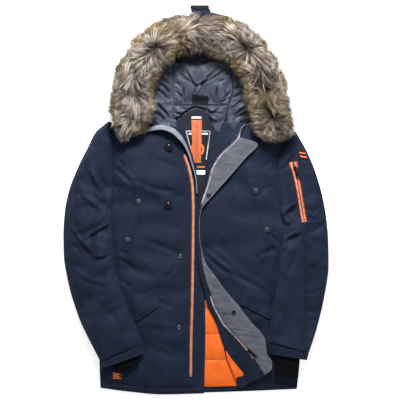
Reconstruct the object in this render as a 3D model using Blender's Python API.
"""Fur-trimmed winter parka laid flat on its back, front open, hood spread, sleeves at its sides.

Tables and helpers work in millimetres and publish() turns them into metres. +X is the right-hand
side for someone who looks down at the front, +Y runs from the hem to the hood and +Z points up from
the table. The origin is the middle of the footprint, on the table. Left and right in the names of
the pieces are the wearer's, so the right front lies on the -X side.
"""

import math

import bmesh
import bpy
from mathutils import Matrix, Vector
from mathutils.bvhtree import BVHTree

MM = 0.001

# Driving sizes
SEAM_GAP = 0.3  # between two pieces that a seam joins
EDGE_GAP = 0.6  # between two curved edges that a seam joins side by side
NECK_GAP = 0.4  # the same at the neck seam, where it is straight
NAPE_GAP = 2.6  # and round its tight curve at the nape
LAY_GAP = 0.5  # below a small piece that lies on a panel
HOOD_GAP = 0.9  # between the hood shell and its lining
SLEEVE_GAP = 1.6  # below a sleeve where it lies on the body
BACK_LOFT = 10.0  # shell, wadding and lining of the back, pressed by what lies on it
FRONT_LOFT = 14.0  # shell, wadding and lining of a front
SEWN_LOFT = 5.0  # the same wall where a seam or a hem pinches it
SLACK = 3.4  # room between the back and the fronts
PLACKET = 3.6  # a front's unpadded edge, shell and facing
COLLAR_WALL = 3.0
ROLL = 3.5  # radius of the turned-back front edge, at the middle of its wall
HOOD_WALL = 6.0
HOOD_RIM = 26.0  # how far the hood's side walls rise
HOOD_WALL_RUN = 62.0  # over what width they rise
RUFF_HEIGHT = 62.0
SLEEVE_UNDER = 10.0
SLEEVE_LOFT = 14.0
CUFF_WALL = 6.0
RIB_LOFT = 7.0
KNIT_RIBS = 10

FINISHES = {
    "shell": ((0.018, 0.028, 0.055), 0.62, 0.0),
    "lining": ((0.95, 0.20, 0.03), 0.45, 0.0),
    "hood_lining": ((0.105, 0.115, 0.15), 0.38, 0.0),
    "facing": ((0.17, 0.18, 0.23), 0.5, 0.0),
    "zip_tape": ((0.75, 0.19, 0.07), 0.6, 0.0),
    "knit": ((0.008, 0.009, 0.011), 0.9, 0.0),
    "fur": ((0.22, 0.17, 0.12), 0.8, 0.0),
    "label": ((0.012, 0.013, 0.02), 0.5, 0.0),
    "label_white": ((0.7, 0.7, 0.7), 0.6, 0.0),
    "metal": ((0.02, 0.02, 0.023), 0.3, 1.0),
}


def table(columns, *rows):
    names = columns.split()
    return [dict(zip(names, row)) for row in rows]


def read(rows, key, column, at):
    """A column of a table at any key, on a smooth curve through its rows that never overshoots."""
    rows = sorted(rows, key=lambda row: row[key])
    keys = [row[key] for row in rows]
    values = [row[column] for row in rows]
    at = min(max(at, keys[0]), keys[-1])
    steps = [(values[i + 1] - values[i]) / (keys[i + 1] - keys[i]) for i in range(len(rows) - 1)]
    i = max(n for n in range(len(rows) - 1) if keys[n] <= at)

    def slope(n):
        before, after = steps[max(n - 1, 0)], steps[min(n, len(steps) - 1)]
        return 0.0 if before * after <= 0 else 2 * before * after / (before + after)

    width = keys[i + 1] - keys[i]
    t = (at - keys[i]) / width
    return (
        values[i] * (2 * t**3 - 3 * t**2 + 1)
        + values[i + 1] * (3 * t**2 - 2 * t**3)
        + slope(i) * width * (t**3 - 2 * t**2 + t)
        + slope(i + 1) * width * (t**3 - t**2)
    )


def mix(a, b, share):
    return a + (b - a) * share


def ease(t):
    t = min(max(t, 0.0), 1.0)
    return t * t * (3 - 2 * t)


def puff(distance, reach):
    """0 at a seam, rising round to 1 at reach from it."""
    return math.sin(math.pi / 2 * min(max(distance / reach, 0.0), 1.0))


# Outlines, each a curve read from a few points

RIGHT_SIDE = table(
    "y x",
    (222, -254), (157, -248), (109, -248), (30, -252), (-12, -255), (-40, -268), (-75, -284),
    (-200, -287), (-480, -289), (-564, -286),
)
LEFT_SIDE = table(
    "y x",
    (214, 275), (177, 266), (141, 251), (77, 242), (13, 245), (-35, 254), (-62, 262), (-90, 286),
    (-125, 300), (-300, 306), (-478, 310), (-566, 302),
)
BACK_HEM = table("x y", (-289, -560), (-198, -571), (-102, -579), (22, -577), (150, -573), (310, -566))
NECKLINE = table(
    "x y",
    (-254, 222), (-160, 230), (-100, 231), (-56, 240), (-28, 262), (-2, 275), (26, 268), (50, 250),
    (72, 236), (120, 231), (200, 230), (275, 214),
)
RIGHT_FRONT_HEM = table("x y", (-289, -562), (-198, -574), (-102, -582), (24, -579))
RIGHT_FRONT_TOP = table("x y", (-254, 222), (-200, 228), (-150, 230), (-102, 214), (-76, 206), (-54, 192))
RIGHT_FRONT_EDGE = table(
    "y x",
    (192, -54), (154, -37), (103, -18), (61, -5), (13, 3), (-30, 6), (-138, 9), (-234, 17),
    (-300, 21), (-579, 24),
)
# The left front: where it folds back, where its zip lies and where its free edge ends
LEFT_FRONT = table(
    "y fold zip free",
    (232, 80, 140, 150), (213, 74, 136, 143), (190, 62, 128, 136), (171, 54, 112, 186),
    (132, 40, 72, 152), (90, 33, 47, 116), (60, 28, 36, 90), (30, 20, 26, 64), (0, 12, 17, 38),
    (-26, 5, 9, 17), (-67, 1, 5, 11), (-105, 1.5, 5, 11), (-138, 4, 8, 15), (-185, 7, 12, 29),
    (-230, 14, 18, 61), (-273, 26, 31, 93), (-311, 35, 42, 126), (-362, 59, 74, 167),
    (-394, 71, 103, 198), (-414, 77, 123, 208), (-440, 85, 147, 210), (-456, 89, 160, 213),
    (-478, 96, 176, 227), (-497, 103, 189, 227), (-519, 113, 200, 203), (-543, 122, 150, 160),
    (-561, 126, 131, 137),
)
LEFT_FRONT_HEM = table("x y", (126, -561), (200, -566), (310, -563))
LEFT_FRONT_TOP = table("x y", (80, 232), (170, 231), (275, 213))

# Soft folds: a line from one end to the other, how high it stands (or how deep it lies) and its width
RIGHT_FRONT_FOLDS = table(
    "x0 y0 x1 y1 height width",
    (-240, 40, -150, 10, -3.0, 16), (-110, 40, -20, -5, -2.5, 15), (-240, -190, -120, -230, -3.5, 16),
    (-60, -190, -150, -270, 3.0, 18), (-150, -430, -40, -470, -2.5, 18),
)
LEFT_FRONT_FOLDS = table(
    "x0 y0 x1 y1 height width",
    (60, -130, 215, -275, -4.0, 17), (110, 90, 200, -60, -3.0, 20), (236, -60, 215, -210, -2.5, 15),
)
RIGHT_SLEEVE_FOLDS = table(
    "x0 y0 x1 y1 height width",
    (-262, -62, -345, -108, -8.0, 12), (-372, -60, -335, -130, -6.0, 12), (-335, -120, -258, -150, 4.0, 14),
    (-300, 62, -262, -30, -6.0, 12), (-345, 75, -300, 10, -4.5, 14), (-375, -190, -300, -230, -4.5, 16),
    (-262, -205, -285, -290, -4.0, 12),
)
LEFT_SLEEVE_FOLDS = table(
    "x0 y0 x1 y1 height width",
    (262, -60, 300, -25, -5.0, 12), (270, 60, 262, -70, -3.5, 12), (268, -130, 310, -100, -4.0, 14),
    (292, -180, 268, -250, -4.0, 14), (345, -120, 338, -230, 3.0, 20),
)


def folds_at(folds, x, y):
    """The height that the soft folds add at a point; a fold fades out towards both its ends."""
    total = 0.0
    for fold in folds:
        start = Vector((fold["x0"], fold["y0"]))
        run = Vector((fold["x1"], fold["y1"])) - start
        along = (Vector((x, y)) - start).dot(run) / run.length_squared
        if -0.2 < along < 1.2:
            nearest = start + run * min(max(along, 0.0), 1.0)
            away = (Vector((x, y)) - nearest).length
            fade = math.sin(math.pi * min(max((along + 0.2) / 1.4, 0.0), 1.0))
            total += fold["height"] * fade * math.exp(-((away / fold["width"]) ** 2))
    return total


# Building and placing

SHAPES = {}  # the faces of each finished piece, in mm, for laying others on it


def publish(name, bm, finish):
    """Closes a bmesh in mm into a named object in metres."""
    bmesh.ops.triangulate(bm, faces=bm.faces[:])
    bmesh.ops.recalc_face_normals(bm, faces=bm.faces[:])
    SHAPES[name] = BVHTree.FromBMesh(bm)
    bmesh.ops.scale(bm, vec=(MM, MM, MM), verts=bm.verts[:])
    mesh = bpy.data.meshes.new(name)
    bm.to_mesh(mesh)
    bm.free()
    mesh.shade_smooth()
    mesh.set_sharp_from_angle(angle=math.radians(50))
    mesh.materials.append(material_of(name, finish))
    piece = bpy.data.objects.new(name, mesh)
    bpy.context.scene.collection.objects.link(piece)
    return piece


def material_of(name, finish):
    """A piece's own material, with the look of its finish."""
    colour, roughness, metallic = FINISHES[finish]
    material = bpy.data.materials.new(f"{name}_{finish}")
    material.use_nodes = True
    shader = material.node_tree.nodes["Principled BSDF"]
    shader.inputs["Base Color"].default_value = (*colour, 1.0)
    shader.inputs["Roughness"].default_value = roughness
    shader.inputs["Metallic"].default_value = metallic
    return material


def top_of(names, x, y):
    """The height of the highest of these pieces at a point, or None beside them all."""
    hits = [SHAPES[name].ray_cast(Vector((x, y, 500)), Vector((0, 0, -1)))[0] for name in names]
    return max((hit.z for hit in hits if hit is not None), default=None)


def wall(name, columns, rows, lower, upper, finish, crowd=0.0):
    """A closed wall between two faces, which lower(u, v) and upper(u, v) give in mm.

    crowd, from 0 to 1, draws the columns towards both edges, where a padded wall rounds off.
    """
    bm = bmesh.new()
    bmesh.ops.create_grid(bm, x_segments=columns, y_segments=rows, size=0.5)
    grid = bm.faces[:] + bm.edges[:] + bm.verts[:]
    raised = bmesh.ops.extrude_face_region(bm, geom=grid, use_keep_orig=True)["geom"]
    raised = {item for item in raised if isinstance(item, bmesh.types.BMVert)}
    for vert in bm.verts:
        u = min(max(vert.co.x + 0.5, 0.0), 1.0)
        v = min(max(vert.co.y + 0.5, 0.0), 1.0)
        u -= crowd * math.sin(2 * math.pi * u) / (2 * math.pi)
        vert.co = (upper if vert in raised else lower)(u, v)
    return publish(name, bm, finish)


def laid(name, on, columns, rows, plan, loft, finish, gap=LAY_GAP, guard=0.0):
    """A piece that lies on others: plan(u, v) is its outline from above and loft(u, v) its thickness.

    guard is the share of a cell around each point whose highest spot counts, for uneven ground.
    """
    spots = [(a, b) for a in (-guard, 0, guard) for b in (-guard, 0, guard)] if guard else [(0, 0)]

    def rest(u, v):
        heights = []
        for a, b in spots:
            at = plan(min(max(u + a / columns, 0), 1), min(max(v + b / rows, 0), 1))
            heights.append(top_of(on, *at))
        x, y = plan(u, v)
        heights = [height for height in heights if height is not None]
        if not heights:
            raise ValueError(f"{name} reaches past {on} at {x:.0f}, {y:.0f}")
        return x, y, max(heights) + gap

    def cover(u, v):
        x, y, z = rest(u, v)
        return x, y, z + loft(u, v)

    return wall(name, columns, rows, rest, cover, finish)


def curve(*points):
    """A smooth curve through the points, from 0 to 1, paced by its chords."""
    reached = [0.0]
    for a, b in zip(points, points[1:]):
        reached.append(reached[-1] + math.dist(a, b))
    stops = [{"t": r / reached[-1], "x": p[0], "y": p[1]} for r, p in zip(reached, points)]
    return lambda t: (read(stops, "t", "x", t), read(stops, "t", "y", t))


def between(left, right):
    """A plan whose rungs run straight from one curve to the other."""

    def plan(u, v):
        (x0, y0), (x1, y1) = left(v), right(v)
        return mix(x0, x1, u), mix(y0, y1, u)

    return plan


def strip(path, width):
    """A plan along a path; width(v) is measured across it."""

    def plan(u, v):
        (x0, y0), (x1, y1) = path(max(v - 0.005, 0.0)), path(min(v + 0.005, 1.0))
        run = Vector((x1 - x0, y1 - y0)).normalized()
        x, y = path(v)
        across = (u - 0.5) * width(v)
        return x + run.y * across, y - run.x * across

    return plan


def four_sided(corners):
    """A plan between four corners, listed anticlockwise from the lower left."""
    (ax, ay), (bx, by), (cx, cy), (dx, dy) = corners

    def plan(u, v):
        return (
            mix(mix(ax, bx, u), mix(dx, cx, u), v),
            mix(mix(ay, by, u), mix(dy, cy, u), v),
        )

    return plan


def pillow(edge, middle):
    """A loft that is thin at its four edges and full in the middle."""
    return lambda u, v: mix(edge, middle, puff(min(u, 1 - u), 0.3) * puff(min(v, 1 - v), 0.3))


def turned(name, profile, x, y, z, sides, finish):
    """A round piece from a profile of (radius, height), standing at a point."""
    bm = bmesh.new()
    verts = [bm.verts.new((radius, 0, height)) for radius, height in profile]
    edges = [bm.edges.new(pair) for pair in zip(verts, verts[1:])]
    bmesh.ops.spin(
        bm, geom=verts + edges, axis=(0, 0, 1), cent=(0, 0, 0), angle=2 * math.pi, steps=sides,
        use_merge=True,
    )
    bmesh.ops.remove_doubles(bm, verts=bm.verts[:], dist=0.01)
    bmesh.ops.translate(bm, verts=bm.verts[:], vec=(x, y, z))
    return publish(name, bm, finish)


def lofted(name, rings, finish):
    """A closed body through rings that have the same number of points, capped at both ends."""
    bm = bmesh.new()
    loops = []
    for ring in rings:
        verts = [bm.verts.new(point) for point in ring]
        loops.append([bm.edges.new(pair) for pair in zip(verts, verts[1:] + verts[:1])])
    for first, second in zip(loops, loops[1:]):
        bmesh.ops.bridge_loops(bm, edges=first + second)
    bmesh.ops.contextual_create(bm, geom=loops[0])
    bmesh.ops.contextual_create(bm, geom=loops[-1])
    return publish(name, bm, finish)


# The back

def make_back():
    def face(z):
        def point(u, v):
            right_y, left_y = mix(-560, 222, v), mix(-566, 214, v)
            x = mix(read(RIGHT_SIDE, "y", "x", right_y), read(LEFT_SIDE, "y", "x", left_y), u)
            hem = read(BACK_HEM, "x", "y", x) - mix(-560, -566, u)
            top = read(NECKLINE, "x", "y", x) - mix(222, 214, u)
            return x, mix(right_y, left_y, u) + hem * (1 - v) ** 3 + top * v**3, z

        return point

    wall("back_panel", 48, 36, face(0), face(BACK_LOFT), "shell")


def make_back_lining():
    """The quilted lining of the back, where the open front shows it: three channels and part of a fourth."""
    channels = 3.25
    plan = between(
        curve((12, -560), (10, -300)),
        curve((150, -556), (118, -490), (98, -420), (62, -330), (46, -300)),
    )

    def loft(u, v):
        channel = abs(math.sin(math.pi * channels * v))
        return 1.4 + 1.2 * channel**0.5 * puff(min(u, 1 - u), 0.15)

    laid("back_lining", ["back_panel"], 4, round(8 * channels), plan, loft, "lining", gap=SEAM_GAP)


def make_neck():
    """What the open neck shows: the dark facing, its label, a hanging loop and two small tags."""
    facing = between(
        curve((8, 14), (-8, 90), (-20, 140), (-36, 190), (-52, 234), (-38, 250), (-14, 268)),
        curve((18, 14), (30, 70), (42, 110), (56, 180), (66, 232), (48, 248), (14, 270)),
    )
    laid("neck_facing", ["back_panel"], 6, 18, facing, lambda u, v: 1.0, "label", gap=SEAM_GAP)
    label = four_sided(((-12, 118), (33, 118), (47, 210), (-34, 210)))
    laid("neck_label", ["neck_facing"], 2, 2, label, lambda u, v: 0.6, "label", gap=SEAM_GAP)
    loop = four_sided(((-9, 124), (15, 124), (18, 240), (-14, 240)))

    def slack(u, v):
        return 1.0 + 1.6 * math.sin(math.pi * v)

    laid("hanging_loop", ["neck_facing", "neck_label"], 2, 12, loop, slack, "zip_tape", guard=0.5)
    tag = four_sided(((-14, 244), (16, 244), (15, 250), (-13, 250)))
    laid("size_tag", ["neck_facing"], 1, 1, tag, lambda u, v: 0.8, "label_white", gap=SEAM_GAP)
    care = four_sided(((0, 76), (27, 76), (28, 89), (-2, 89)))
    laid("care_tag", ["neck_facing"], 1, 1, care, lambda u, v: 0.8, "label_white", gap=SEAM_GAP)


# The fronts

def front_wall(from_side, from_edge, from_hem, from_top):
    """The height of a front's lower face and its loft, from the distances to its four edges."""
    lower = BACK_LOFT + SEAM_GAP + SLACK * puff(from_side, 45)
    pinch = puff(from_side, 62) * puff(from_hem, 46) * puff(from_top, 60)
    loft = mix(SEWN_LOFT, FRONT_LOFT, pinch)
    return lower, mix(PLACKET, loft, puff(from_edge - 22, 60))


def make_right_front():
    def point(u, v):
        side_y, edge_y = mix(-562, 222, v), mix(-579, 192, v)
        x0, x1 = read(RIGHT_SIDE, "y", "x", side_y), read(RIGHT_FRONT_EDGE, "y", "x", edge_y)
        x = mix(x0, x1, u)
        hem = read(RIGHT_FRONT_HEM, "x", "y", x) - mix(-562, -579, u)
        top = read(RIGHT_FRONT_TOP, "x", "y", x) - mix(222, 192, u)
        y = mix(side_y, edge_y, u) + hem * (1 - v) ** 3 + top * v**3
        lower, loft = front_wall(x - x0, x1 - x, v * 780, (1 - v) * 780)
        return x, y, lower, loft + folds_at(RIGHT_FRONT_FOLDS, x, y)

    def low(u, v):
        x, y, lower, _ = point(u, v)
        return x, y, lower

    def high(u, v):
        x, y, lower, loft = point(u, v)
        return x, y, lower + loft

    wall("right_front", 12, 22, low, high, "shell", crowd=0.3)


# The left front's columns: to the fold, round it, to the zip, across the zip and to the free edge
LEFT_COLUMNS, LEFT_ROWS = 20, 26
FOLD_AT, ROUND_AT, LINING_AT, ZIP_AT, FLAP_AT = 0.5, 0.7, 0.75, 0.8, 0.85
ROW_GAP = 0.02  # in rows, between two strips end to end
OVERLAP_LIFT = 5.0  # how far the left front's fold lies above the right front's edge
ZIP_WIDTH = 5.5  # of the left half of the main zip


def left_front_section(u, v):
    """The middle of the left front's wall, its thickness and the direction of its outer face.

    It runs from the side seam to the fold, round it, and back over itself to the free edge.
    """
    side_y, row_y = mix(-563, 213, v), mix(-561, 232, v)
    side, fold = read(LEFT_SIDE, "y", "x", side_y), read(LEFT_FRONT, "y", "fold", row_y)
    turn = fold + ROLL
    free = max(read(LEFT_FRONT, "y", "free", row_y), turn + 6)
    overlap = ease((row_y + 300) / 40) * ease((30 - row_y) / 40)

    def flat(x):
        share = (side - x) / (side - fold)
        y = mix(side_y, row_y, share)
        hem = read(LEFT_FRONT_HEM, "x", "y", x) - mix(-563, -561, share)
        top = read(LEFT_FRONT_TOP, "x", "y", x) - mix(213, 232, share)
        y += hem * (1 - v) ** 3 + top * v**3
        lower, loft = front_wall(side - x, x - fold, v * 780, (1 - v) * 780)
        lower += OVERLAP_LIFT * overlap * (1 - ease((x - 30) / 40))
        return y, lower, loft + folds_at(LEFT_FRONT_FOLDS, x, y)

    if u <= FOLD_AT:
        share = u / FOLD_AT
        share -= 0.35 * math.sin(2 * math.pi * share) / (2 * math.pi)
        x = mix(side, turn, share)
        y, lower, loft = flat(x)
        return Vector((x, y, lower + loft / 2)), loft, Vector((0, 0, 1))
    if u < ROUND_AT:
        angle = math.pi * (u - FOLD_AT) / (ROUND_AT - FOLD_AT)
        y, lower, _ = flat(turn)
        x, z = turn - ROLL * math.sin(angle), lower + PLACKET / 2 + ROLL * (1 - math.cos(angle))
        return Vector((x, y, z)), PLACKET, Vector((math.sin(angle), 0, math.cos(angle)))
    span, zip_line = free - turn, read(LEFT_FRONT, "y", "zip", row_y) - ZIP_WIDTH / 2
    zip_in = min(max(zip_line, turn + 0.1 * span), free - 0.6 * span)
    zip_in = max(zip_in, min(zip_line, free - 2 * ZIP_WIDTH))
    zip_out = min(zip_in + ZIP_WIDTH, free - 0.3 * (free - zip_in))
    stops = ((ROUND_AT, turn), (ZIP_AT, zip_in), (FLAP_AT, zip_out), (1.0, free))
    start, end = next(pair for pair in zip(stops, stops[1:]) if u <= pair[1][0] + 1e-6)
    x = mix(start[1], end[1], (u - start[0]) / (end[0] - start[0]))
    y, lower, loft = flat(x)
    return Vector((x, y, lower + loft + 2 * ROLL - PLACKET / 2)), PLACKET, Vector((0, 0, -1))


def make_left_front():
    def face(side):
        def point(u, v):
            middle, loft, outward = left_front_section(u, v)
            return middle + outward * (side * loft / 2)

        return point

    wall("left_front", LEFT_COLUMNS, LEFT_ROWS, face(-1), face(1), "shell")


def make_turned_back(name, first, last, bottom, top, loft, finish, inset=0.0, gap=LAY_GAP):
    """A strip on the turned-back edge, between two borders in u, on the left front's rows by number.

    A border is one u, or a (lowest, highest) pair where the strip narrows.
    """
    first, last = [edge if isinstance(edge, tuple) else (edge, edge) for edge in (first, last)]
    columns, rows = round((max(last) - min(first)) * LEFT_COLUMNS), top - bottom

    def on_front(u, v):
        """A point of the left front's own faces, which are straight from column to column."""
        column = min(int(u * LEFT_COLUMNS + 0.001), LEFT_COLUMNS - 1)
        (start, wall_loft, _), (end, _, _) = [
            left_front_section(at / LEFT_COLUMNS, v) for at in (column, column + 1)
        ]
        return start + (end - start) * (u * LEFT_COLUMNS - column), wall_loft

    def face(extra):
        def point(u, v):
            row = mix(bottom + ROW_GAP, top - ROW_GAP, v)
            middle, wall_loft = on_front(mix(mix(*first, v), mix(*last, v), u), row / LEFT_ROWS)
            shift = inset * (u < 0.01) - inset * (u > 0.99)
            return middle.x + shift, middle.y, middle.z + wall_loft / 2 + gap + extra

        return point

    wall(name, columns, rows, face(0), face(loft), finish)


def make_left_facings():
    """The flap's facing along the free edge, the zip beside it and the unpadded facing inside it."""
    make_turned_back("flap_facing", FLAP_AT, 1.0, 2, 24, 1.2, "facing", inset=0.4)
    make_turned_back("zip_left_upper", ZIP_AT, FLAP_AT, 18, 25, 1.4, "zip_tape")
    make_turned_back("zip_left_lower", ZIP_AT, FLAP_AT, 3, 9, 1.4, "zip_tape")
    make_turned_back("inner_facing_upper", ROUND_AT, ZIP_AT, 20, 25, 0.9, "shell", inset=0.4)
    make_turned_back("inner_facing_lower", ROUND_AT, ZIP_AT, 3, 8, 0.9, "shell", inset=0.4)
    tapered = LINING_AT, mix(ROUND_AT, LINING_AT, 0.18)
    make_turned_back(
        "left_front_lining", ROUND_AT, tapered, 1, 3, 1.1, "lining", inset=0.4, gap=2 * LAY_GAP,
    )


def make_right_zip():
    path = curve(
        (-36, 135), (-21, 90), (-11, 29), (-6.6, -35), (-6.6, -150), (-10.5, -300), (-15.6, -420),
        (-17, -528),
    )
    laid("zip_right", ["right_front"], 2, 30, strip(path, lambda v: 10.5), lambda u, v: 1.6, "zip_tape")


# The collar on the right front: it stands up, leans out and ends in a grey binding

COLLAR = table(
    "t x y inward_x inward_y width low_edge high_edge",
    (0.0, -156, 206, 0.35, 0.94, 22, 24.8, 26.2), (0.12, -145, 211, 0.32, 0.95, 24, 24.9, 28.4),
    (0.24, -126, 216, 0.2, 0.98, 25, 24, 36), (0.36, -102, 219, -0.05, 1.0, 25, 23, 43),
    (0.47, -76, 213, 0.35, 0.94, 24, 22, 43), (0.58, -52, 197, 0.75, 0.66, 20, 21, 40),
    (0.68, -31, 154, 0.93, 0.36, 14, 21, 33), (0.78, -12, 103, 0.96, 0.27, 9, 21, 27),
    (0.88, -1, 61, 0.98, 0.2, 6, 19.5, 22.5), (1.0, 2, 20, 1.0, 0.08, 4.5, 18.8, 20.5),
)


def collar_face(share_in, share_out, lift):
    def point(u, v):
        row = {name: read(COLLAR, "t", name, v) for name in COLLAR[0]}
        share = mix(share_in, share_out, u)
        reach = row["width"] * (1 - share)
        rise = math.sin(math.pi / 2 * share)
        return (
            row["x"] + row["inward_x"] * reach,
            row["y"] + row["inward_y"] * reach,
            mix(row["low_edge"], row["high_edge"], rise) + lift,
        )

    return point


def make_collar():
    wall("collar_right", 4, 18, collar_face(0, 1, -COLLAR_WALL), collar_face(0, 1, 0), "shell")
    binding = collar_face(0.5, 1, SEAM_GAP + 0.2), collar_face(0.5, 1, 2.0)
    wall("collar_binding", 2, 18, *binding, "facing")


# The sleeves: a top sleeve on an under sleeve, which lies on the table and on the body

# t counts sections from the shoulder to the cuff seam; inner and outer are the two side seams.
# out is measured outwards from the middle, so both sleeves read the same way.
RIGHT_SLEEVE = table(
    "t inner inner_y outer outer_y",
    (0, 255, 218, 268, 228), (1, 249, 158, 318, 162), (2, 249, 102, 351, 102), (3, 253, 30, 380, 30),
    (4, 255.6, -12, 393, -33), (5, 253.5, -75, 397.3, -104), (6, 250, -135, 396, -165),
    (7, 240, -215, 381, -255), (8, 213, -300, 352, -348), (9, 158, -429, 284, -485),
)
LEFT_SLEEVE = table(
    "t inner inner_y outer outer_y",
    (0, 276, 208, 300, 204), (1, 252, 141, 333, 144), (2, 242.6, 77, 361, 75), (3, 245.6, 13, 380, 6),
    (4, 254.6, -35, 390, -51), (5, 261, -84, 396, -120), (6, 255, -169, 397.3, -195),
    (7, 241, -262, 384, -291), (8, 228, -345, 363, -378), (9, 216, -426, 337, -455),
)
SLEEVES = {
    "right": {"sign": -1, "rows": RIGHT_SLEEVE, "side": RIGHT_SIDE, "armpit": -12, "on": "right_front",
              "folds": RIGHT_SLEEVE_FOLDS, "cuff": ((156, -460), (284, -504)),
              "rib": ((165, -474), (252, -503), (172, -488), (222, -516))},
    "left": {"sign": 1, "rows": LEFT_SLEEVE, "side": LEFT_SIDE, "armpit": -62, "on": "left_front",
             "folds": LEFT_SLEEVE_FOLDS, "cuff": ((222, -460), (331, -478)),
             "rib": ((231, -465), (311, -476), (234, -523), (305, -532))},
}
ARMPIT_RISE = 34.0  # above the armpit, over what length the sleeve climbs onto the body
DRAPE = 26.0  # how far beside the body its under side comes down to the table


def rest_height(sleeve, x, y):
    """What an under sleeve lies on: the body where it is over it, then a slope down to the table."""
    side = read(sleeve["side"], "y", "x", y)
    outside = (x - side) * sleeve["sign"]
    rise = ease((sleeve["armpit"] + 18 + ARMPIT_RISE - y) / ARMPIT_RISE)
    slope = 1 - ease((outside - 6) / DRAPE)
    if rise * slope == 0:
        return 0.0
    over = x if outside < -4 else side - sleeve["sign"] * 4
    body = top_of([sleeve["on"]], over, max(y, -552))
    return (body + SLEEVE_GAP) * rise * slope


def cuff_level(sleeve):
    """The level height of the whole cuff: that of the highest spot under it."""
    if "level" not in sleeve:
        seam_in, seam_out = sleeve_plan(sleeve, 0, 1), sleeve_plan(sleeve, 1, 1)
        end_in, end_out = [(sleeve["sign"] * x, y) for x, y in sleeve["cuff"]]
        plan = four_sided((end_in, end_out, seam_out, seam_in))
        spots = [plan(a / 6, b / 4) for a in range(7) for b in range(5)]
        sleeve["level"] = max(rest_height(sleeve, x, y) for x, y in spots)
    return sleeve["level"]


def sleeve_plan(sleeve, u, v):
    """A point of the sleeve's outline: u from the inner to the outer seam, v from shoulder to cuff."""
    rows, sign = sleeve["rows"], sleeve["sign"]
    t = 9 * v
    inner_y = read(rows, "t", "inner_y", t)
    side = read(sleeve["side"], "y", "x", inner_y) + sign * EDGE_GAP
    back = ease((sleeve["armpit"] + 4 - inner_y) / 30)
    inner = mix(side, sign * read(rows, "t", "inner", t), back)
    outer, outer_y = sign * read(rows, "t", "outer", t), read(rows, "t", "outer_y", t)
    return mix(inner, outer, u), mix(inner_y, outer_y, u)


def sleeve_heights(sleeve, u, v):
    """(x, y, under side, top of the under sleeve, inside of the top sleeve, outside)."""
    x, y = sleeve_plan(sleeve, u, v)
    width = 45 + 90 * min(v * 5, 1.0)
    edge = min(u, 1 - u) * width
    rest = mix(rest_height(sleeve, x, y), cuff_level(sleeve), ease(v * 6 - 5))
    under = rest + mix(SEWN_LOFT, mix(SLEEVE_UNDER, CUFF_WALL, ease(v * 4 - 3)), puff(edge, 30))
    inside = under + SEAM_GAP + 2.8 * puff(edge, 30)
    full = mix(SLEEVE_LOFT, 10.5, ease(v * 4 - 3)) * mix(0.55, 1.0, puff(v, 0.14))
    loft = mix(3.5, full, puff(edge, 52)) + folds_at(sleeve["folds"], x, y) * puff(edge + 8, 26)
    return x, y, rest, under, inside, inside + max(loft, 3.0)


def make_sleeve(hand):
    sleeve = SLEEVES[hand]

    def face(index):
        def point(u, v):
            heights = sleeve_heights(sleeve, u, v)
            return heights[0], heights[1], heights[index]

        return point

    wall(f"sleeve_{hand}_under", 8, 22, face(2), face(3), "shell", crowd=0.3)
    wall(f"sleeve_{hand}_top", 8, 22, face(4), face(5), "shell", crowd=0.3)
    make_cuff(hand, sleeve)


def make_cuff(hand, sleeve):
    """The turned cuff, a layer below and a layer above, and the rib knit that comes out between."""
    sign, level = sleeve["sign"], cuff_level(sleeve)
    seam_in, seam_out = sleeve_plan(sleeve, 0, 1), sleeve_plan(sleeve, 1, 1)
    end_in, end_out = [(sign * x, y) for x, y in sleeve["cuff"]]
    start_in, start_out, tip_in, tip_out = [(sign * x, y) for x, y in sleeve["rib"]]
    run = Vector(end_in) + Vector(end_out) - Vector(seam_in) - Vector(seam_out)
    down = run.normalized()

    def cuff_plan(u, v):
        x, y = four_sided((seam_in, seam_out, end_out, end_in))(u, v)
        return x + down.x * EDGE_GAP * (1 - v), y + down.y * EDGE_GAP * (1 - v)

    def rib_plan(u, v):
        x, y = four_sided((start_in, start_out, tip_out, tip_in))(u, v)
        return x - down.x * 14 * (1 - v), y - down.y * 14 * (1 - v)

    def layer(plan, edge, middle, reach=0.25, ripple=0.0):
        def point(u, v):
            rise = mix(edge, middle, puff(min(u, 1 - u), reach))
            return (*plan(u, v), level + rise + ripple * abs(math.sin(math.pi * KNIT_RIBS * u)))

        return point

    knit_top = CUFF_WALL + LAY_GAP + RIB_LOFT
    wall(f"cuff_{hand}_under", 8, 2, layer(cuff_plan, 0, 0), layer(cuff_plan, 4, CUFF_WALL, 0.1), "shell")
    wall(
        f"cuff_{hand}_top", 8, 2,
        layer(cuff_plan, 4.4, knit_top + LAY_GAP, 0.2), layer(cuff_plan, 8, knit_top + LAY_GAP + CUFF_WALL),
        "shell",
    )
    under = layer(rib_plan, CUFF_WALL + LAY_GAP, CUFF_WALL + LAY_GAP)
    over = layer(rib_plan, CUFF_WALL + LAY_GAP + 2.2, knit_top - 1.6, 0.3, ripple=0.9)
    wall(f"rib_{hand}", 2 * KNIT_RIBS, 2, under, over, "knit")


# The hood: a shallow bowl on the table, lined with quilting, with the fur ruff on its rim

HOOD = table(
    "v y left right",
    (0.0, 232, -160, 200), (0.1, 270, -208, 244), (0.26, 320, -212, 248), (0.42, 370, -198, 238),
    (0.57, 420, -168, 214), (0.7, 460, -134, 190), (0.82, 500, -92, 163), (0.91, 530, -52, 131),
    (0.97, 550, -22, 90), (1.0, 561, 0, 48),
)


def hood_plan(u, v):
    x = mix(read(HOOD, "v", "left", v), read(HOOD, "v", "right", v), u)
    gap = mix(NECK_GAP, NAPE_GAP, ease((120 - abs(x)) / 30))
    lift = (read(NECKLINE, "x", "y", x) + gap - 232) * (1 - v) ** 4
    return x, read(HOOD, "v", "y", v) + lift


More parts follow.
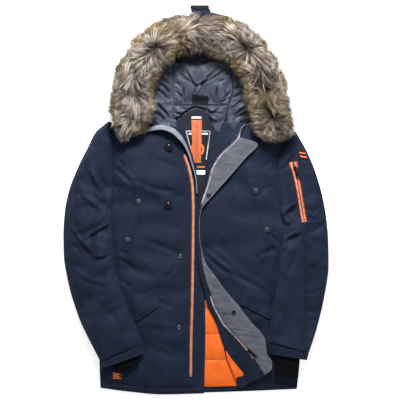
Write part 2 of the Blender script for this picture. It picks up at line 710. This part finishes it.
def hood_level(u, v):
    """How far the bowl has risen: flat inside, up towards its rim, and flat along the neck seam."""
    half = (read(HOOD, "v", "right", v) - read(HOOD, "v", "left", v)) / 2
    aside = min(u, 1 - u) * 2 * half
    ahead = (1 - v) * 300
    return (HOOD_RIM * (1 - ease(min(aside, ahead) / HOOD_WALL_RUN))) * ease(v * 9 + 0.15)


def make_hood_shell():
    def low(u, v):
        return (*hood_plan(u, v), hood_level(u, v))

    def high(u, v):
        return (*hood_plan(u, v), hood_level(u, v) + HOOD_WALL)

    wall("hood_shell", 22, 14, low, high, "shell")


def quilted(left, right, folds=()):
    """The plan and loft of a padded hood panel between two seams; folds are its creases."""
    plan = between(left, right)

    def loft(u, v):
        full = mix(1.6, 9.0, puff(min(u, 1 - u), 0.28) * puff(min(v, 1 - v), 0.28))
        return max(full + folds_at(folds, *plan(u, v)), 1.2)

    return plan, loft


CROWN_FOLDS = table(
    "x0 y0 x1 y1 height width",
    (-62, 402, 2, 340, -6.0, 9), (78, 400, 10, 342, -6.0, 9), (5, 420, 5, 352, 4.0, 16),
    (-30, 345, -34, 300, -2.5, 8), (44, 345, 48, 300, -2.5, 8),
)
SIDE_FOLDS = table(
    "x0 y0 x1 y1 height width",
    (-130, 330, -84, 280, -3.5, 10), (-140, 290, -90, 248, -3.0, 9), (150, 340, 115, 280, -3.5, 10),
    (165, 300, 120, 250, -3.0, 9),
)


HOOD_SEAMS = table(
    "y right left", (243, -72, 91), (285, -70, 97), (328, -69.5, 110), (410, -66, 100), (490, -52, 84),
)


def hood_seam(column, y0, y1, shift):
    """One of the crown's two long seams, as a curve from y0 to y1, moved aside by shift."""

    def point(t):
        y = mix(y0, y1, t)
        return read(HOOD_SEAMS, "y", column, y) + shift, y

    return point


def make_hood_lining():
    crown = quilted(hood_seam("right", 286, 488, 1), hood_seam("left", 286, 488, -1), CROWN_FOLDS)
    nape = quilted(
        lambda v: (mix(-71, -69, v), mix(243, 284.6, v)), lambda v: (mix(90, 96, v), mix(243, 284.6, v)),
    )
    nape_plan = nape[0]

    def nape_outline(u, v):
        x, y = nape_plan(u, v)
        return x, y + max(read(NECKLINE, "x", "y", x) + 6 - 243, 0) * (1 - v)

    side_right = quilted(
        curve((-142, 248), (-180, 292), (-176, 370), (-126, 440), (-92, 472)),
        hood_seam("right", 243, 474, -1), SIDE_FOLDS,
    )
    side_left = quilted(
        hood_seam("left", 243, 474, 1),
        curve((182, 245), (219, 290), (210, 380), (168, 440), (140, 468)), SIDE_FOLDS,
    )
    base = ["hood_shell"]
    laid("hood_lining_crown", base, 10, 9, *crown, "hood_lining", gap=HOOD_GAP)
    laid("hood_lining_nape", base, 8, 3, nape_outline, nape[1], "hood_lining", gap=HOOD_GAP)
    laid("hood_lining_side_right", base, 7, 8, *side_right, "hood_lining", gap=HOOD_GAP)
    laid("hood_lining_side_left", base, 7, 8, *side_left, "hood_lining", gap=HOOD_GAP)
    patch = four_sided(((-11, 290), (36, 290), (35, 306), (-10, 307)))
    laid("hood_patch", ["hood_lining_crown"], 3, 2, patch, lambda u, v: 1.0, "label", guard=0.5)


RUFF = table(
    "x y half",
    (-200, 178, 30), (-195, 196, 50), (-188, 226, 60), (-186, 270, 64), (-181, 328, 62),
    (-163, 390, 60), (-121, 452, 57), (-60, 487, 64), (8, 497, 67), (84, 486, 60), (138, 458, 55),
    (174, 415, 52), (199, 366, 57), (218, 312, 58), (228, 252, 62), (229, 212, 58), (227, 184, 48),
    (224, 168, 26),
)
RUFF_GAP = 0.7  # between the ruff and what it lies on
RUFF_ON = (
    "hood_shell", "hood_lining_crown", "hood_lining_side_right", "hood_lining_side_left", "right_front",
    "left_front", "sleeve_right_top", "sleeve_left_top", "collar_right", "collar_binding",
)


def make_ruff():
    """The outer form of the fur: an oval tube that lies on the hood's rim, lumpy on top, smooth below."""
    sides, steps = 12, 36
    stops = [{"t": i, **row} for i, row in enumerate(RUFF)]
    last = len(RUFF) - 1

    def centre(t):
        return Vector((read(stops, "t", "x", t), read(stops, "t", "y", t)))

    def section(step, points):
        """Points of one ring, each with its place from above and its height above the ring's foot."""
        t = last * min(max(step / steps, 0), 1)
        run = (centre(min(t + 0.05, last)) - centre(max(t - 0.05, 0))).normalized()
        out, half = Vector((-run.y, run.x)), read(stops, "t", "half", t)
        tall = RUFF_HEIGHT * min(half / 55, 1.0)
        for point in range(points):
            angle = 2 * math.pi * point / points
            lump = 1 + 0.07 * max(math.sin(angle), 0) * math.sin(2.3 * step + 36 * angle / math.tau)
            shoulder = math.copysign(abs(math.sin(angle)) ** 0.8, math.sin(angle))
            height = tall / 2 * (1 + shoulder * lump)
            yield centre(t) + out * (half * math.cos(angle)), height

    def foot(step):
        """How high this ring must stand to clear everything under it."""
        feet = []
        for place, height in section(step, 4 * sides):
            ground = top_of(RUFF_ON, place.x, place.y)
            if ground is not None:
                feet.append(ground - height)
        return max(feet)

    feet = [max(foot(step - 0.5), foot(step), foot(step + 0.5)) for step in range(steps + 1)]
    rings = []
    for step in range(steps + 1):
        seat = feet[step] + RUFF_GAP
        rings.append([(place.x, place.y, seat + height) for place, height in section(step, sides)])
    lofted("fur_ruff", rings, "fur")


def make_crown_strap():
    """The strap over the back of the hood and the cord stop that holds it, at the very top."""
    def bar(name, x0, x1, y0, y1, z0, z1, finish):
        def face(z):
            def point(u, v):
                return mix(x0, x1, u), mix(y0, y1, v), z - 2.5 * abs(2 * u - 1) ** 3 * (z > z0)

            return point

        wall(name, 4, 1, face(z0), face(z1), finish)

    bar("crown_strap", 4, 44, 561.4, 570.6, 4, 30, "shell")
    bar("cord_stop", -17, 39, 571, 582, 3, 33, "metal")


# Pockets, labels and fastenings

def make_pockets():
    for hand, on, corners in (
        ("right", "right_front", ((-180, -364), (-106, -314), (-127, -262), (-190, -292))),
        ("left", "left_front", ((134, -312), (222, -357), (226, -292), (143, -262))),
    ):
        laid(f"flap_{hand}", [on], 5, 5, four_sided(corners), pillow(1.5, 3.4), "shell", guard=0.3)
    for hand, on, path in (
        ("right", "right_front", curve((-216, -152), (-204, -120), (-173, -6), (-167, 54))),
        ("left", "left_front", curve((226, -142), (212, -90), (179, 26), (164, 62))),
    ):
        plan = strip(path, lambda v: 27.0)

        def loft(u, v):
            return mix(1.4, 2.6, puff(min(u, 1 - u), 0.3))

        laid(f"welt_{hand}", [on], 2, 12, plan, loft, "shell", guard=0.3)


def make_labels():
    hem = four_sided(((-252, -536), (-220, -538), (-219, -516), (-251, -513)))
    laid("hem_label", ["right_front"], 2, 2, hem, lambda u, v: 0.8, "zip_tape", guard=0.5)
    badge = four_sided(((309, 124), (337, 119), (329, 148), (304, 151)))
    laid("sleeve_badge", ["sleeve_left_top"], 2, 2, badge, lambda u, v: 0.9, "label", guard=0.5)


def highest(on, x, y, reach):
    """The top of what lies within reach of a point, on a small lattice."""
    lattice = [reach * step / 3 for step in range(-3, 4)]
    heights = [top_of(on, x + dx, y + dy) for dx in lattice for dy in lattice]
    return max(height for height in heights if height is not None)


def make_fasteners():
    dome = ((0, 0), (12.4, 0), (12.4, 3.4), (9.0, 4.2), (6.5, 6.6), (0, 7.8))
    cap = ((0, 0), (9.4, 0), (8.6, 2.2), (0, 3.4))
    ring = ((0, 0), (6.6, 0), (6.0, 2.2), (3.6, 2.2), (0, 1.2))
    snaps = (
        ("button_upper", dome, -82, 160, "right_front"),
        ("button_lower", dome, -83, -13, "right_front"),
        ("snap_right_upper", ring, -48, -169, "right_front"),
        ("snap_right_lower", ring, -51, -381, "right_front"),
        ("snap_left_upper", ring, 38, 14, "flap_facing"),
        ("snap_left_lower", ring, 113, -335, "flap_facing"),
        ("welt_snap_right_upper", cap, -172, -6, "welt_right"),
        ("welt_snap_right_lower", cap, -204, -120, "welt_right"),
        ("welt_snap_left_upper", cap, 179, 26, "welt_left"),
        ("welt_snap_left_lower", cap, 212, -90, "welt_left"),
    )
    for name, profile, x, y, on in snaps:
        reach = profile[1][0]
        finish = "shell" if profile is cap else "metal"
        z = highest([on], x, y, reach) + SEAM_GAP
        turned(name, profile[::-1], x, y, z, 12 if profile is dome else 10, finish)


# A zip's slider, with the bail that its pull tab hangs in

SLIDER_LENGTH, SLIDER_WIDTH, SLIDER_HEIGHT = 14.0, 10.0, 3.0
BAIL_WIDTH, BAIL_LENGTH, BAIL_WALL = 2.4, 9.0, 1.3
PIN_HEIGHT = 4.6  # of the tab's cross bar above the slider's under side
BAIL_TOP = 7.3
TAB_LENGTH, TAB_WIDTH, TAB_THICKNESS = 31.0, 8.0, 1.6
TAB_WINDOW, TAB_WINDOW_WIDTH = 5.7, 3.8
TAB_REST = math.radians(5)  # the tab slopes down to the cloth
TAB_BAR = 1.0  # half of the cross bar, along the tab


def box_mesh(x0, x1, y0, y1, z0, z1):
    bm = bmesh.new()
    bmesh.ops.create_cube(bm, size=1)
    bmesh.ops.scale(bm, vec=(x1 - x0, y1 - y0, z1 - z0), verts=bm.verts[:])
    bmesh.ops.translate(bm, vec=((x0 + x1) / 2, (y0 + y1) / 2, (z0 + z1) / 2), verts=bm.verts[:])
    return bm


def helper_box(name, *sides):
    """A box that only takes part in a Boolean."""
    piece = publish(name, box_mesh(*sides), "metal")
    piece.hide_render = True
    piece.display_type = "WIRE"
    return piece


def combine(piece, other, operation):
    modifier = piece.modifiers.new(operation.lower(), "BOOLEAN")
    modifier.operation = operation
    modifier.solver = "EXACT"
    modifier.object = other


def make_slider(name, x, y, heading, on):
    """A slider whose tab points along the heading, and the tab, which turns on its cross bar."""
    direction = Vector((math.cos(heading), math.sin(heading)))
    spots = [direction * step + Vector((-direction.y, direction.x)) * side
             for step in range(-8, 36, 4) for side in (-5, 0, 5)]
    tops = [top_of(on, x + spot.x, y + spot.y) for spot in spots]
    ground = max(top for top in tops if top is not None) + SEAM_GAP
    place = Matrix.Translation(Vector((x, y, ground)) * MM) @ Matrix.Rotation(heading, 4, "Z")

    half, side = SLIDER_LENGTH / 2, SLIDER_WIDTH / 2
    body = box_mesh(-half, half, -side, side, 0, SLIDER_HEIGHT)
    bmesh.ops.bevel(
        body, geom=body.edges[:], offset=0.8, segments=2, profile=0.5, affect="EDGES", material=-1,
        clamp_overlap=True,
    )
    slider = publish(f"{name}_slider", body, "metal")
    bail = helper_box(
        f"{name}_bail", -BAIL_LENGTH / 2, BAIL_LENGTH / 2, -BAIL_WIDTH / 2, BAIL_WIDTH / 2, 1.5, BAIL_TOP,
    )
    reach = BAIL_LENGTH / 2 - BAIL_WALL
    eye = helper_box(
        f"{name}_eye", -reach, reach, -BAIL_WIDTH, BAIL_WIDTH, SLIDER_HEIGHT + 0.1, BAIL_TOP - BAIL_WALL,
    )
    combine(slider, bail, "UNION")
    combine(slider, eye, "DIFFERENCE")
    for piece in (slider, bail, eye):
        piece.matrix_world = place

    outline = box_mesh(
        -TAB_BAR, TAB_LENGTH, -TAB_WIDTH / 2, TAB_WIDTH / 2, -TAB_THICKNESS / 2, TAB_THICKNESS / 2,
    )
    corners = [edge for edge in outline.edges
               if abs(edge.verts[0].co.z - edge.verts[1].co.z) > 1 and edge.verts[0].co.x > 0]
    bmesh.ops.bevel(
        outline, geom=corners, offset=3.2, segments=4, profile=0.5, affect="EDGES", material=-1,
    )
    tab = publish(f"{name}_pull", outline, "metal")
    window = helper_box(
        f"{name}_window", TAB_BAR, TAB_WINDOW, -TAB_WINDOW_WIDTH / 2, TAB_WINDOW_WIDTH / 2, -3, 3,
    )
    hole = helper_box(f"{name}_hole", TAB_LENGTH - 6.5, TAB_LENGTH - 2.5, -1.8, 1.8, -3, 3)
    combine(tab, window, "DIFFERENCE")
    combine(tab, hole, "DIFFERENCE")
    hinge = place @ Matrix.Translation((0, 0, PIN_HEIGHT * MM)) @ Matrix.Rotation(TAB_REST, 4, "Y")
    for piece in (tab, window, hole):
        piece.matrix_world = hinge


def make_sleeve_pocket():
    """The zipped pocket on the left sleeve, with its sewn-on welt."""
    path = curve((324, -66), (316, -20), (306, 40), (293, 100), (291, 114))

    def width(v):
        return mix(14.0, 25.0, ease((v - 0.78) / 0.2))

    def loft(u, v):
        return 1.6

    laid("sleeve_zip", ["sleeve_left_top"], 2, 14, strip(path, width), loft, "zip_tape", guard=0.4)
    seam = four_sided(((332, -70), (380, -68), (381, -65), (332, -66)))
    laid("sleeve_pocket_seam", ["sleeve_left_top"], 5, 1, seam, lambda u, v: 1.0, "shell", guard=0.5)


def clear_scene():
    for piece in list(bpy.data.objects):
        bpy.data.objects.remove(piece)


def main():
    clear_scene()
    make_back()
    make_back_lining()
    make_neck()
    make_right_front()
    make_left_front()
    make_left_facings()
    make_right_zip()
    make_collar()
    for hand in SLEEVES:
        make_sleeve(hand)
    make_hood_shell()
    make_hood_lining()
    make_ruff()
    make_crown_strap()
    make_pockets()
    make_labels()
    make_sleeve_pocket()
    make_fasteners()
    under_slider = ["flap_facing", "inner_facing_lower", "zip_left_lower", "left_front"]
    make_slider("main_zip", 160, -451, math.radians(-41), under_slider)
    make_slider("sleeve_zip", 296, 94, math.radians(-74), ["sleeve_zip"])


main()
